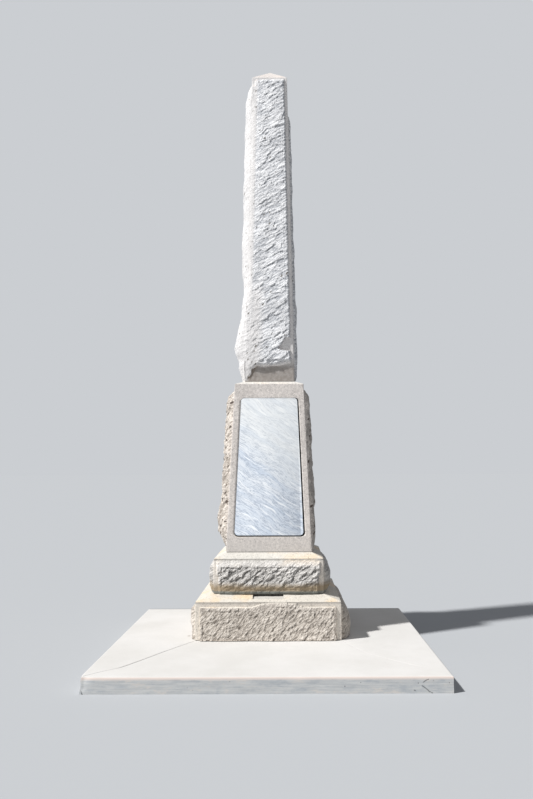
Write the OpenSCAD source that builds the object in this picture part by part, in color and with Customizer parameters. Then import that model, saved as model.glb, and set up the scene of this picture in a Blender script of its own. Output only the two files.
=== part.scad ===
// Granite memorial obelisk: a two-stone stepped base, a tapered die with a marble tablet,
// and a tapered shaft with a pointed top, set in the concrete pad that carries it.
// The stones are pitch-faced: flat drafted margins frame a panel of rough rock.
// Millimetres. The origin is the middle of the pad's underside, +Z is up, the tablet faces -Y.

/* [Pad] */
// Thickness of the concrete pad and of the footing inside it
pad_t = 125; // [90:5:200]
// Concrete in front of the lower base
front_apron = 1046; // [700:2:1600]
// Concrete behind the lower base
rear_strip = 90; // [90:2:600]
// Concrete to the left of the lower base
left_margin = 701; // [200:1:1100]
// Concrete to the right of the lower base
right_margin = 741; // [200:1:1100]
// Radius of the tooled edge round the top of the pad
pad_edge_r = 12; // [5:1:25]

/* [Bed joints] */
// Thickness of the mortar bed under each stone
bed_t = 5; // [3:1:12]
// How far the mortar is raked back behind the stone above it
bed_rake = 12; // [6:1:25]

/* [Lower base] */
// Width and depth of the lower base over its drafted margins
lower_w = 1308; // [1200:2:1500]
// Height of its front face, up to the arris
lower_h = 331; // [260:1:420]
// Rise of the sloping wash above the arris
lower_wash = 43; // [20:1:70]

/* [Upper base] */
// Width and depth of the upper base over its drafted margins
upper_w = 1012; // [920:2:1120]
// Height of its front face, up to the arris
upper_h = 313; // [240:1:400]
// Rise of the sloping wash above the arris
upper_wash = 45; // [20:1:70]

/* [Die] */
// Width and depth of the die at its foot
die_w = 806; // [760:2:860]
// Width and depth of the die at its upper arris
die_top_w = 670; // [620:2:720]
// Height of its front face, up to the arris
die_h = 1600; // [1450:5:1800]
// Rise of the sloping wash above the arris
die_wash = 32; // [15:1:60]

/* [Tablet] */
// Width of the marble tablet at its foot
tablet_w = 646; // [560:2:680]
// Width of the tablet at its head
tablet_top_w = 547; // [460:1:570]
// Height of the tablet, measured along the face
tablet_h = 1310; // [1000:5:1360]
// Thickness of the tablet, which is bedded in a recess of the die's face
tablet_t = 30; // [20:1:60]
// How far the tablet stands proud of the die's face
tablet_proud = 4; // [0:1:20]
// Height of the tablet's foot above the foot of the die
tablet_z = 150; // [100:1:220]
// Radius of the tablet's corners
tablet_r = 34; // [15:1:60]

/* [Shaft] */
// Width and depth of the shaft at its foot
shaft_w = 490; // [440:2:520]
// Width and depth of the shaft at its shoulders
shaft_top_w = 366; // [300:2:400]
// Height from the foot of the shaft to its shoulders
shaft_h = 3220; // [2700:5:3600]
// Height of the pointed top above the shoulders
tip_h = 165; // [120:2:260]

/* [Rock faces] */
// Width of the drafted margins on the two base stones
base_margin = 40; // [25:1:60]
// Width of the drafted margins on the die and the shaft
shaft_margin = 26; // [15:1:40]
// Distance over which a rock panel first rises out of its margin
flank = 20; // [12:1:40]
// Further distance over which the deeper rock rounds up to its full height
shoulder = 90; // [40:5:140]
// Rock that stands less proud than this rises at once out of its margin
shallow_rock = 40; // [20:5:60]
// Rock that stands this far proud takes the whole shoulder to round up
deep_rock = 90; // [60:5:130]
// How rough the rock is, from hollow to crest
roughness = 24; // [8:1:30]
// Width of the largest chips in the rock
chip_w = 150; // [100:5:300]
// How far the rock stands proud on the front, right, back and left of the lower base
lower_rock = [24, 92, 46, 48]; // [10:1:100]
// The same on the upper base
upper_rock = [42, 72, 44, 58]; // [10:1:100]
// The same on the die, whose front is dressed flat
die_rock = [0, 54, 50, 84]; // [0:1:130]
// How far the die's left side swells further, low down
die_swell = 38; // [10:1:50]
// Height of the plain band under the die's upper arris
die_head = 50; // [26:2:80]
// The same as above, on the shaft
shaft_rock = [46, 26, 42, 68]; // [10:1:80]
// Height of the dressed strip left at the foot of the shaft's front
foot_dressing = 150; // [60:5:260]
// Width of the gentle slope up which the rock rises at the left of the shaft's front
front_slope = 110; // [60:5:160]
// Height of the lip of the boss on the shaft's left side
boss_z = 310; // [250:5:600]
// How far the lip swells beyond the rock round it
boss_rise = 48; // [20:1:80]
// Height over which the boss slopes back above its lip
boss_reach = 310; // [150:5:450]
// Height over which the boss breaks off under its lip
boss_drop = 60; // [20:5:150]
// Height of the narrow waist above the boss
waist_z = 930; // [700:10:1200]
// How far the rock draws in at the waist
waist_depth = 20; // [10:1:50]
// Half the height of the waist
waist_reach = 250; // [80:5:300]
// Height up to which the rock wraps round the shaft's front left corner
wrap_h = 830; // [400:10:1200]
// How far the rock stands proud there
wrap_rise = 24; // [10:1:40]
// How far the shaft's sides swell low down
low_swell = 14; // [0:1:30]
// Depth over which rock tucks in above a bed joint
tuck = 130; // [60:5:200]
// Width of the place where the front margin of the lower base has spalled away
spall_w = 300; // [100:10:500]

/* [Pocket in the lower wash] */
// Width of the level-bottomed pocket cut in the front wash
pocket_w = 280; // [150:2:400]
// Size of the pocket from front to back
pocket_d = 84; // [40:1:100]
// Distance between the pocket and the upper base
pocket_back = 10; // [4:1:30]
// Depth of the pocket at its front lip
pocket_lip = 6; // [3:1:15]

/* [Hidden] */
$fn = 48;

FRONT = 0;
RIGHT = 1;
BACK = 2;
LEFT = 3;

// The pad fits round the lower base, and the stones stand on the axis of the lower base
pad_w = left_margin + lower_w + right_margin;
pad_d = front_apron + lower_w + rear_strip;
axis_x = (left_margin - right_margin) / 2;
axis_y = (front_apron - rear_strip) / 2;

// Heights of the feet of the stones above the ground
lower_z = pad_t + bed_t;
upper_z = lower_z + lower_h + lower_wash + bed_t;
die_z = upper_z + upper_h + upper_wash + bed_t;
shaft_z = die_z + die_h + die_wash + bed_t;

// The die's front face leans back by the taper, and the tablet leans with it
die_set_back = (die_w - die_top_w) / 2;
die_lean = atan(die_set_back / die_h);

// Numbers of rock columns on each side of a stone, and of rows up its height
lower_columns = [22, 16, 16, 16];
upper_columns = [17, 13, 13, 13];
die_columns = [0, 10, 10, 10];
shaft_columns = [9, 8, 8, 8];
lower_rows = 7;
upper_rows = 7;
die_rows = 28;
shaft_rows = 54;

// The small lumps on the chips, and how far the points of the rock stray from their rows
lump_w = 0.4 * chip_w;
stray = 0.5;

concrete = [0.80, 0.79, 0.76];
mortar = [0.62, 0.60, 0.56];
base_granite = [0.74, 0.68, 0.62];
die_granite = [0.80, 0.75, 0.70];
shaft_granite = [0.86, 0.86, 0.85];
marble = [0.87, 0.89, 0.92];

// A fixed scatter from 0 to 1 for each point of a grid
function scatter(i, j, seed) =
    let (value = sin(i * 127.1 + j * 311.7 + seed * 74.7) * 43758.5453)
    value - floor(value);

// Smooth lumps from 0 to 1, one to each unit of u and v
function lumps(u, v, seed) =
    let (i = floor(u),
         j = floor(v),
         a = (u - i) * (u - i) * (3 - 2 * (u - i)),
         b = (v - j) * (v - j) * (3 - 2 * (v - j)),
         low = scatter(i, j, seed) * (1 - a) + scatter(i + 1, j, seed) * a,
         high = scatter(i, j + 1, seed) * (1 - a) + scatter(i + 1, j + 1, seed) * a)
    low * (1 - b) + high * b;

// Chips of about one unit, each flat and tilted its own way, from about -0.75 to 0.75
function chips(u, v, seed) =
    let (cells = [for (i = [floor(u) - 1:floor(u) + 1])
                     for (j = [floor(v) - 1:floor(v) + 1])
                         let (x = u - i - scatter(i, j, seed),
                              y = v - j - scatter(i, j, seed + 1))
                         [x * x + y * y, x, y, scatter(i, j, seed + 2), scatter(i, j, seed + 3)]],
         least = min([for (c = cells) c[0]]),
         c = [for (c = cells) if (c[0] == least) c][0])
    (c[3] - 0.5) * (1 + c[1]) + (c[4] - 0.5) * c[2];

// Broken rock, from about -0.5 to 0.5: chips with small lumps on them
function rock(s, z, seed) =
    0.6 * chips(s / chip_w, z / chip_w, seed)
    + 0.4 * (lumps(s / lump_w, z / lump_w, seed + 9) - 0.5);

// Rises from 0 to 1 between two values of x
function ramp(x, from, to) = max(0, min(1, (x - from) / (to - from)));

// A hump of height 1 and the given reach, centred on x = 0
function hump(x, reach) = exp(-x * x / (reach * reach));

// How much of the rock shows at a distance x from the edge of its face. Rock that stands far
// proud rounds up over the shoulder as well, and shallow rock rises at once.
function rise(x, margin, proud) =
    let (share = 1 - 0.5 * ramp(proud, shallow_rock, deep_rock))
    ramp(x, margin, margin + flank)
    * (share + (1 - share) * ramp(x, margin + flank, margin + flank + shoulder));

// The same at a point of a panel of rock, from all four of its margins. With no foot margin the
// rock runs down to the bed.
function panel(s, z, half, height, margin, foot, head, proud) =
    rise(half - abs(s), margin, proud)
    * (foot > 0 ? rise(z, foot, proud) : 1)
    * rise(height - z, head, proud);

// Positions along one side of a stone: the corner, the margin's inner edge, the rock panel,
// and the margin's inner edge again. The next corner belongs to the next side.
function stations(half, margin, count) =
    count == 0 ? [-half] :
    let (start = -half + margin + flank,
         step = -2 * start / count)
    concat([-half, -half + margin],
           [for (i = [0:count]) start + i * step],
           [half - margin]);

// Heights of the levels of a stone with margins at the top and the bottom of its rock
function rows(foot_margin, head_margin, height, count) =
    let (start = foot_margin > 0 ? foot_margin + flank : 0,
         step = (height - head_margin - flank - start) / count)
    concat(foot_margin > 0 ? [0, foot_margin] : [],
           [for (i = [0:count]) start + i * step],
           [height - head_margin, height]);

// Turns a point of the front side to one of the other three
function turned(side, x, y) =
    side == FRONT ? [x, y] :
    side == RIGHT ? [-y, x] :
    side == BACK ? [-x, -y] : [y, -x];

// A stone's half width at a height, between its foot and its arris
function tapered(z, foot_w, arris_w, height) = (foot_w + (arris_w - foot_w) * z / height) / 2;

// One level of a stone: its outline at the height of row k. Points of the rock stray from
// their row and column, so that no grid shows, and the drafted margins stay straight.
function level(k, heights, half_at, margin, columns, relief) =
    [for (side = [FRONT:LEFT])
        let (places = stations(half_at(heights[k]), margin, columns[side]),
             step = len(places) > 4 ? places[3] - places[2] : 0)
        for (c = [0:len(places) - 1])
            let (inner = c > 1 && c < len(places) - 1,
                 loose = inner && k > 1 && k < len(heights) - 3,
                 s = places[c] + (loose ? stray * step * (scatter(c, k, side) - 0.5) : 0),
                 lift = loose ? stray * (heights[k + 1] - heights[k]) : 0,
                 z = heights[k] + lift * (scatter(c, k, side + 4) - 0.5),
                 half = half_at(z),
                 proud = inner ? relief(side, s, z, half) : 0,
                 p = turned(side, s, -half - proud))
            [p[0], p[1], z]];

// A stone built up in levels. Its last level is the top of the wash, or the shoulders under a tip.
module stone(heights, half_at, margin, columns, relief, wash = [], tip = 0, swell = undef) {
    plain = [for (k = [0:len(heights) - 1]) level(k, heights, half_at, margin, columns, relief)];
    top = wash == [] ? [] :
        [[for (side = [FRONT:LEFT])
             for (s = stations(wash[1], margin, columns[side]))
                 let (p = turned(side, s, -wash[1]))
                 [p[0], p[1], wash[0]]]];
    rings = concat(plain, top);
    count = len(rings[0]);
    last = len(rings) - 1;
    foot = [0, 0, 0];
    head = [0, 0, rings[last][0][2] + tip];
    points = concat([for (r = rings) for (p = r) swell == undef ? p : swell(p)], [foot, head]);
    foot_index = len(points) - 2;
    head_index = len(points) - 1;
    bands = [for (k = [0:last - 1])
                for (i = [0:count - 1])
                    let (j = (i + 1) % count,
                         a = k * count + i,
                         b = k * count + j,
                         c = a + count,
                         d = b + count,
                         split = scatter(i, k, 5) > 0.5)
                    each (split ? [[a, c, d], [a, d, b]] : [[a, c, b], [b, c, d]])];
    ends = [for (i = [0:count - 1])
               let (j = (i + 1) % count)
               each [[i, j, foot_index], [last * count + j, last * count + i, head_index]]];
    polyhedron(points = points, faces = concat(bands, ends));
}

// Rock of the lower base: it runs down to the pad, and its front margin is spalled on top
lower_relief = function (side, s, z, half)
    let (proud = lower_rock[side],
         spall = side == FRONT ? hump(s - lower_w / 16, spall_w / 2) : 0)
    panel(s, z, half, lower_h, base_margin, 0, base_margin * (1 - 0.8 * spall), proud)
    * (proud + roughness * rock(s + side * lower_w, z, 1));

// Rock of the upper base: it curls in at the foot
upper_relief = function (side, s, z, half)
    let (proud = upper_rock[side])
    panel(s, z, half, upper_h, base_margin, 0, base_margin, proud)
    * ramp(z, -0.3 * tuck, 0.5 * tuck)
    * (proud + roughness * rock(s + side * upper_w, z, 3));

// Rock of the die: the left side swells low down and breaks off under the swelling, and all
// sides tuck in at the bed
die_relief = function (side, s, z, half)
    let (proud = die_rock[side],
         swelling = side == LEFT ? die_swell * ramp(z, 0.11 * die_h, 0.14 * die_h)
                                   * hump(z - 0.17 * die_h, tuck) : 0,
         tucked = side == LEFT ? ramp(z, 0, 1.3 * tuck) : ramp(z, -0.5 * tuck, tuck))
    panel(s, z, half, die_h, shaft_margin, 0, die_head, proud)
    * tucked * (proud + swelling + roughness * rock(s + side * die_w, z, 5));

// Rock of the shaft: in front a dressed foot, whose edge slants down to the left, and a gentle
// slope up from the left margin. The left has a narrow waist and a deep margin under the tip, and
// the right is dressed nearly flat at the top.
shaft_relief = function (side, s, z, half)
    let (proud = shaft_rock[side],
         slant = ramp(s, -0.86 * half, -0.62 * half) + 0.15 * ramp(s, 0, half),
         foot = side == FRONT ? foot_dressing * slant : side == LEFT ? 0 : shaft_margin,
         head = side == LEFT ? 2.5 * shaft_margin : shaft_margin,
         waist = side == LEFT ? waist_depth * hump(z - waist_z, waist_reach) : 0,
         swelling = side == RIGHT ? low_swell * hump(z - 0.2 * shaft_h, 4 * tuck) :
                    side == LEFT ? low_swell * (1 - ramp(z, 0.1 * shaft_h, 0.2 * shaft_h)) : 0,
         tucked = side == LEFT ? ramp(z, -tuck, 1.5 * tuck) : 1,
         shown = side == FRONT ? ramp(s + half, 0.4 * shaft_margin, front_slope) :
                 side == RIGHT ? 1 - 0.85 * ramp(z, 0.86 * shaft_h, 0.88 * shaft_h) : 1)
    panel(s, z, half, shaft_h, shaft_margin, foot, head, proud)
    * shown
    * (tucked * (proud + swelling) - waist + roughness * rock(s + side * shaft_w, z, 7));

// The boss pushes the shaft's left side out, corners and margins with it, and low down the rock
// wraps round the front left corner
shaft_swell = function (p)
    let (half = tapered(p[2], shaft_w, shaft_top_w, shaft_h),
         left = ramp(-p[0], 0.3 * half, half),
         front = ramp(-p[1], 0.3 * half, half),
         lip = min(ramp(p[2], boss_z - boss_drop, boss_z),
                   pow(1 - ramp(p[2], boss_z, boss_z + boss_reach), 0.6)),
         boss = boss_rise * lip * left,
         corner = ramp(min(-p[0], -p[1]), 0.75 * half, half),
         lower = (1 - ramp(p[2], 0.8 * wrap_h, wrap_h)) * (1 + ramp(p[2], 0, tuck)) / 2,
         wrap = wrap_rise * corner * lower)
    [p[0] - boss - wrap, p[1] - 0.3 * boss * front - wrap, p[2]];

module on_axis(z) {
    translate([axis_x, axis_y, z]) children();
}

// Mortar under a stone, raked back behind its margins
module bed(z, stone_w) {
    color(mortar)
        on_axis(z)
            linear_extrude(bed_t)
                square(stone_w - 2 * bed_rake, center = true);
}

// Foundation block that carries the monument, flush with the pad
module footing() {
    color(concrete)
        on_axis(0)
            linear_extrude(pad_t)
                square(lower_w, center = true);
}

// Concrete slab cast up against the footing all round, with a tooled round edge
module pad() {
    color(concrete)
        difference() {
            slab();
            on_axis(-pad_t / 2)
                linear_extrude(2 * pad_t)
                    square(lower_w, center = true);
        }
}

// The slab before its opening: a plate of two extrusions that cross, with a quarter round
// along each top edge
module slab() {
    intersection() {
        edged(pad_w, pad_d);
        rotate(90) edged(pad_d, pad_w);
    }
}

// A plate whose two long edges are rounded on top
module edged(width, length) {
    rotate([90, 0, 0])
        linear_extrude(length, center = true)
            union() {
                translate([-width / 2, 0])
                    square([width, pad_t - pad_edge_r]);
                translate([pad_edge_r - width / 2, 0])
                    square([width - 2 * pad_edge_r, pad_t]);
                for (side = [-1, 1])
                    translate([side * (width / 2 - pad_edge_r), pad_t - pad_edge_r])
                        circle(pad_edge_r);
            }
}

module base_bed() {
    bed(pad_t, lower_w);
}

module lower_base() {
    slope = lower_wash / ((lower_w - upper_w) / 2);
    pocket_z = lower_h + lower_wash - slope * (pocket_back + pocket_d) - pocket_lip;
    color(base_granite)
        on_axis(lower_z)
            difference() {
                stone(rows(0, base_margin, lower_h, lower_rows), function (z) lower_w / 2,
                      base_margin, lower_columns, lower_relief,
                      wash = [lower_h + lower_wash, upper_w / 2]);
                translate([-pocket_w / 2, -upper_w / 2 - pocket_back - pocket_d, pocket_z])
                    cube([pocket_w, pocket_d, lower_h]);
            }
}

module step_bed() {
    bed(upper_z - bed_t, upper_w);
}

module upper_base() {
    color(base_granite)
        on_axis(upper_z)
            stone(rows(0, base_margin, upper_h, upper_rows), function (z) upper_w / 2,
                  base_margin, upper_columns, upper_relief,
                  wash = [upper_h + upper_wash, die_w / 2]);
}

module die_bed() {
    bed(die_z - bed_t, die_w);
}

module die() {
    color(die_granite)
        difference() {
            on_axis(die_z)
                stone(rows(0, shaft_margin, die_h, die_rows),
                      function (z) tapered(z, die_w, die_top_w, die_h),
                      shaft_margin, die_columns, die_relief,
                      wash = [die_h + die_wash, shaft_w / 2]);
            tablet_block();
        }
}

// Outline of the tablet, standing on its foot: straight sides that lean in, and round corners
module tablet_outline() {
    lean = atan((tablet_w - tablet_top_w) / 2 / tablet_h);
    foot_x = tablet_w / 2 - tablet_r * (1 - sin(lean)) / cos(lean);
    head_x = tablet_top_w / 2 - tablet_r * (1 + sin(lean)) / cos(lean);
    centres = [[foot_x, tablet_r], [head_x, tablet_h - tablet_r]];
    out = [tablet_r * cos(lean), tablet_r * sin(lean)];
    right = [[centres[0][0], 0], centres[0] + out, centres[1] + out, [centres[1][0], tablet_h]];
    union() {
        polygon(concat(right, [for (i = [3:-1:0]) [-right[i][0], right[i][1]]]));
        for (c = centres, side = [-1, 1])
            translate([side * c[0], c[1]]) circle(tablet_r);
    }
}

// The tablet's slab in its place, which is also the shape of its recess in the die
module tablet_block() {
    on_axis(die_z)
        translate([0, -die_w / 2, 0])
            rotate([90 - die_lean, 0, 0])
                translate([0, tablet_z, tablet_proud - tablet_t])
                    linear_extrude(tablet_t)
                        tablet_outline();
}

// Marble tablet, bedded in the leaning face of the die
module tablet() {
    color(marble) tablet_block();
}

module shaft_bed() {
    bed(shaft_z - bed_t, shaft_w);
}

module shaft() {
    strip = [for (share = [0, 0.2, 0.5, 0.8]) share * foot_dressing];
    heights = concat(strip, [for (z = rows(foot_dressing, shaft_margin, shaft_h, shaft_rows))
                                if (z >= foot_dressing) z]);
    color(shaft_granite)
        on_axis(shaft_z)
            stone(heights, function (z) tapered(z, shaft_w, shaft_top_w, shaft_h),
                  shaft_margin, shaft_columns, shaft_relief,
                  tip = tip_h, swell = shaft_swell);
}

footing();
pad();
base_bed();
lower_base();
step_bed();
upper_base();
die_bed();
die();
tablet();
shaft_bed();
shaft();
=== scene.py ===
# %% [markdown]
# # A rock-faced granite obelisk
# The monument is a stack of four granite stones with thin mortar beds between them, standing in
# a concrete pad. Masons call the finish pitch-faced: each face is a panel of rock left as it
# broke, framed by narrow margins that were dressed flat with a chisel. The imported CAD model
# already has the sizes and the large lumps. This script gives each stone its broken surface,
# its worn edges and its colours, and never moves a CAD part.

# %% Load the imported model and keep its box
import math
import bpy
import bmesh
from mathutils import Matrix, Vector, noise
from mathutils.bvhtree import BVHTree


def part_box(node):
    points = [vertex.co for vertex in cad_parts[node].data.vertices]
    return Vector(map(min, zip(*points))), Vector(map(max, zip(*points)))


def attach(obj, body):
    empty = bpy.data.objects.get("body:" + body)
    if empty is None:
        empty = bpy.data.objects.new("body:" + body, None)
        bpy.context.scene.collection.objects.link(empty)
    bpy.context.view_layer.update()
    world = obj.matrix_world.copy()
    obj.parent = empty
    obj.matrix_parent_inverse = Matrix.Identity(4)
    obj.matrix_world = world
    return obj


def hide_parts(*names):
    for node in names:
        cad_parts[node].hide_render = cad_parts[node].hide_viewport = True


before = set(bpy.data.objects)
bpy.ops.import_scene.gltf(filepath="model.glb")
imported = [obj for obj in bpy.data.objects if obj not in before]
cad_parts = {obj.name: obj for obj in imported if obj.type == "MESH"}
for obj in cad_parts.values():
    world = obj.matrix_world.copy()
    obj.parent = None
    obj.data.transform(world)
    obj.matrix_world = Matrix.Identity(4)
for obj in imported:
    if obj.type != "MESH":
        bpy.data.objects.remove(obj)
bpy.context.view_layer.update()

# %% [markdown]
# The beds are the simplest measure of the stones: mortar is raked back 12 mm behind the drafted
# margins of the stone above, so a stone's true width at its foot is its bed's plus twice that.
# The rock itself can't be used for this, because it stands proud of the margins.

# %% Measure the stones from their beds
RAKE = 0.012


def foot_of(bed):
    """The axis, the height and half the width of the stone that stands on a mortar bed."""
    low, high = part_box(bed)
    return (low.x + high.x) / 2, (low.y + high.y) / 2, high.z, (high.x - low.x) / 2 + RAKE


AXIS_X, AXIS_Y, LOWER_Z, LOWER_HALF = foot_of("base_bed")
_, _, UPPER_Z, UPPER_HALF = foot_of("step_bed")
_, _, DIE_Z, DIE_HALF = foot_of("die_bed")
_, _, SHAFT_Z, SHAFT_HALF = foot_of("shaft_bed")
print("axis", round(AXIS_X, 3), round(AXIS_Y, 3), "feet",
      [round(z, 3) for z in (LOWER_Z, UPPER_Z, DIE_Z, SHAFT_Z)])

# %% [markdown]
# A stone could be sculpted from a subdivided cube, but its mesh lines would then cut across the
# margins. Here one flat grid is wrapped round the stone like a label round a jar. Its columns
# are placed so that some run exactly along the corners and along the margins' inner edges,
# where the surface changes sharply, and its rows climb the face and go over the top edge.

# %% Wrap a grid round a stone
FRONT, RIGHT, BACK, LEFT = range(4)
ROUND = 0.005  # radius of a worn corner or edge
FLANK = (0.003, 0.007, 0.012, 0.020)  # columns close together where the rock begins


def turned(side, x, y):
    """Turns a point of the front side to one of the other three sides."""
    return ((x, y), (-y, x), (-x, -y), (y, -x))[side]


def places(half, margin, count):
    """Where the columns of one side stand, from its left corner up to the last before the next."""
    left = [-half + ROUND * k / 4 for k in range(5)] + [-half + (ROUND + margin) / 2]
    left += [-half + margin]
    left += [-half + margin + f for f in FLANK]
    inner = -left[-1]
    middle = [inner * (2 * k / count - 1) for k in range(1, count)]
    return left + middle + [-s for s in reversed(left[1:])]


def around(side, s, half):
    """A point on the stone's outline, with worn round corners, and the way out from it there."""
    off = half - abs(s)
    angle = math.radians(45) * (1 - off / ROUND) if off < ROUND else 0
    way = math.copysign(math.sin(angle), s), -math.cos(angle)
    core = half - ROUND
    x = math.copysign(core, s) + ROUND * way[0] if off < ROUND else s
    y = -core + ROUND * way[1]
    return Vector(turned(side, x, y)), Vector(turned(side, *way))


print("columns on a 1 m side", len(places(0.5, 0.03, 60)))

# %% [markdown]
# The large lumps come from the CAD stone, so that both models keep one form. A ray shot straight
# in at each point of the grid meets the CAD surface, and the distance tells how far the rock
# stands proud there. The first 3 mm aren't counted, so a margin gives nought. The finer breakage
# is then added in proportion, so margins stay flat.

# %% Read the large lumps off the CAD stone
REACH, SLACK = 0.4, 0.003


def cad_surface(node):
    """The CAD node's surface, ready for rays. Its loose triangles are joined first."""
    mesh = bmesh.new()
    mesh.from_mesh(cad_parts[node].data)
    bmesh.ops.remove_doubles(mesh, verts=mesh.verts, dist=1e-5)
    surface = BVHTree.FromBMesh(mesh)
    mesh.free()
    return surface


def lift_at(surface, point, way, z):
    """How far the CAD surface stands out from a point of the drafted outline."""
    start = Vector((AXIS_X + point.x + way.x * REACH, AXIS_Y + point.y + way.y * REACH, z))
    hit = surface.ray_cast(start, Vector((-way.x, -way.y, 0)))
    return max(0.0, REACH - hit[3] - SLACK) if hit[3] else 0.0


print("rays reach", REACH, "m")

# %% [markdown]
# Granite breaks in overlapping shell-shaped chips. A Voronoi pattern gives cells like them: each
# cell is tilted, so that it rises slowly and ends in a sharp little drop, as the blows of the
# hammer left it. The cells are stretched along the direction in which the mason worked, which on
# this stone runs from the lower left to the upper right. Chips that are 24 mm wide or more are
# modelled here. The narrower ones are drawn later by the material, at the same slant. A list of
# sizes gives each kind of chip its length, its width and its depth in metres.

# %% Break the rock into chips
def soft(x, y, z):
    """Smooth noise, from about -1 to 1."""
    return noise.noise(Vector((x, y, z)))


def chip(along, across, seed, length, width):
    """The tilt of one chip from about -0.5 to 0.5, and a fixed chance value of its own."""
    spot = Vector((along / length, across / width, seed))
    middle = noise.voronoi(spot)[1][0]
    return spot.y - middle.y, noise.cell(middle * 9.7)


def broken(s, z, side, grain, sizes):
    """The height of the broken surface in metres, and how near a crest it is, from 0 to 1."""
    turn = math.radians(grain)
    warp = soft(s * 14, z * 14, side * 5.3) * 0.012
    along = s * math.cos(turn) + z * math.sin(turn) + warp
    across = s * math.sin(turn) - z * math.cos(turn) + warp
    height = 0.0
    total = 0.0
    for seed, (length, width, depth) in enumerate(sizes):
        tilt, chance = chip(along, across, side * 7.1 + seed * 3.7, length, width)
        height += depth * (1.1 * tilt + 0.7 * (chance - 0.5))
        total += depth
    grit = soft(s * 95, z * 95, side * 9.1)
    return height + 0.0010 * grit, min(1.0, max(0.0, 0.5 + 0.75 * height / total + 0.12 * grit))


print("sample chips", [round(broken(0.01 * k, 0.3, 0, 32, [(0.08, 0.03, 0.01)])[0], 4)
                       for k in range(4)])

# %% [markdown]
# One function carves all four stones. It gets the profile as rows of height and half width, and
# a rule that turns each point's lift into its final height. The CAD's lumps are made of flat
# triangles, so the lifts are first averaged with their neighbours, which rounds the lumps off,
# and on the fronts, which were worked more evenly, they are brought nearer to a broad average.
# It also keeps three things at each point for the materials: `rock`, which is 0 on a dressed
# surface and 1 on broken rock, `crest`, which is 0 in a hollow and 1 on a crest, and `face_at`,
# the point's place on its face, so that a pattern can run the same way on all four sides.

# %% Carve a stone
BARE = 0.004  # a lift below this belongs to a margin


def rounded_off(lifts, rounds, reach=1):
    """Averages each lift with its neighbours, but keeps the margins and the panels' edges."""
    for _ in range(rounds):
        softer = {}
        for (i, j), lift in lifts.items():
            near = [lifts.get(at, 0) for at in
                    ((i - reach, j), (i + reach, j), (i, j - reach), (i, j + reach))]
            if reach > 1:
                near = [other if other > BARE else lift for other in near]
            solid = lift > BARE and min(near) > BARE
            softer[i, j] = 0.5 * lift + 0.125 * sum(near) if solid else lift
        lifts = softer
    return lifts


def carve(name, rows, top_rows, margin, counts, finish, even=0.0, join=None):
    """Makes a stone from one wrapped grid. finish(side, s, z, half, lift) gives its relief."""
    surface = cad_surface(name)
    columns = [(side, k) for side in range(4)
               for k in range(len(places(1, margin, counts[side])))]
    ring = len(columns)
    levels = len(rows) + len(top_rows)
    stone = bmesh.new()
    bmesh.ops.create_grid(stone, x_segments=ring, y_segments=levels - 1, size=1)
    rock = stone.verts.layers.float.new("rock")
    crest = stone.verts.layers.float.new("crest")
    face_at = stone.verts.layers.float_vector.new("face_at")
    spots, sides, lifts = {}, [], {}
    for j, (z, half) in enumerate(rows):
        sides.append([places(half, margin, counts[side]) for side in range(4)])
        height = min(max(z, rows[0][0] + 0.001), rows[-1][0] - 0.001)
        for i, (side, k) in enumerate(columns):
            point, way = around(side, sides[j][side][k], half)
            lifts[i, j] = lift_at(surface, point, way, height)
    lifts = rounded_off(lifts, 5)
    broad = rounded_off(lifts, 10, 4) if even else lifts
    for (i, j), lift in lifts.items():
        if columns[i][0] == FRONT:
            lifts[i, j] = lift + even * (broad[i, j] - lift)
    if join:
        join(lifts, columns, sides, rows)
    for j, (z, half) in enumerate(rows):
        for i, (side, k) in enumerate(columns):
            s = sides[j][side][k]
            point, way = around(side, s, half)
            out, rockiness, cresting = finish(side, s, z - rows[0][0], half, lifts[i, j])
            along = s + 2 * half * (side if side < LEFT else -1)
            spots[i, j] = (point + way * out, z, rockiness, cresting, along)
    brim, brim_half = len(rows) - 1, rows[-1][1]
    for j, (z, half) in enumerate(top_rows, start=len(rows)):
        for i in range(ring):
            point = spots[i, brim][0]
            wear = soft(point.x * 9, point.y * 9, z * 9)
            spots[i, j] = (point * (half / brim_half), z, 0.0, 0.5 + 0.25 * wear, point.x)
    for vert in stone.verts:
        i = round((vert.co.x + 1) / 2 * ring) % ring
        j = round((vert.co.y + 1) / 2 * (levels - 1))
        point, z, vert[rock], vert[crest], along = spots[i, j]
        vert[face_at] = (along, z, 0)
        vert.co = (AXIS_X + point.x, AXIS_Y + point.y, z)
    bmesh.ops.remove_doubles(stone, verts=stone.verts, dist=1e-6)
    bmesh.ops.holes_fill(stone, edges=[e for e in stone.edges if e.is_boundary], sides=0)
    bmesh.ops.recalc_face_normals(stone, faces=stone.faces)
    return stone


def as_piece(shape, name, sharp=32):
    """Turns a bmesh into a named object in the scene, smooth but for its sharp edges."""
    mesh = bpy.data.meshes.new(name)
    for face in shape.faces:
        face.smooth = True
    shape.to_mesh(mesh)
    shape.free()
    mesh.set_sharp_from_angle(angle=math.radians(sharp))
    piece = bpy.data.objects.new(name, mesh)
    bpy.context.scene.collection.objects.link(piece)
    print(name, "has", sum(len(p.vertices) - 2 for p in mesh.polygons), "triangles")
    return piece


def climb(foot, height, half_foot, half_arris, step):
    """Rows of one face, from its foot to just below the worn top edge."""
    count = round(height / step)
    return [(foot + height * k / count, half_foot + (half_arris - half_foot) * k / count)
            for k in range(count + 1)]


def brow(arris, half, top, top_half, steps, wear=ROUND):
    """Rows over the worn top edge and up the sloping wash."""
    slope = math.atan2(top - arris, half - top_half)
    worn = [(arris + wear * (math.sin(a) - 1) * math.cos(slope), half - wear * (1 - math.cos(a)))
            for a in (math.radians(30), math.radians(60), math.radians(85))]
    return worn + climb(arris, top - arris, half, top_half, (top - arris) / steps)[1:]


print("the tools for the stones are ready")

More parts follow.
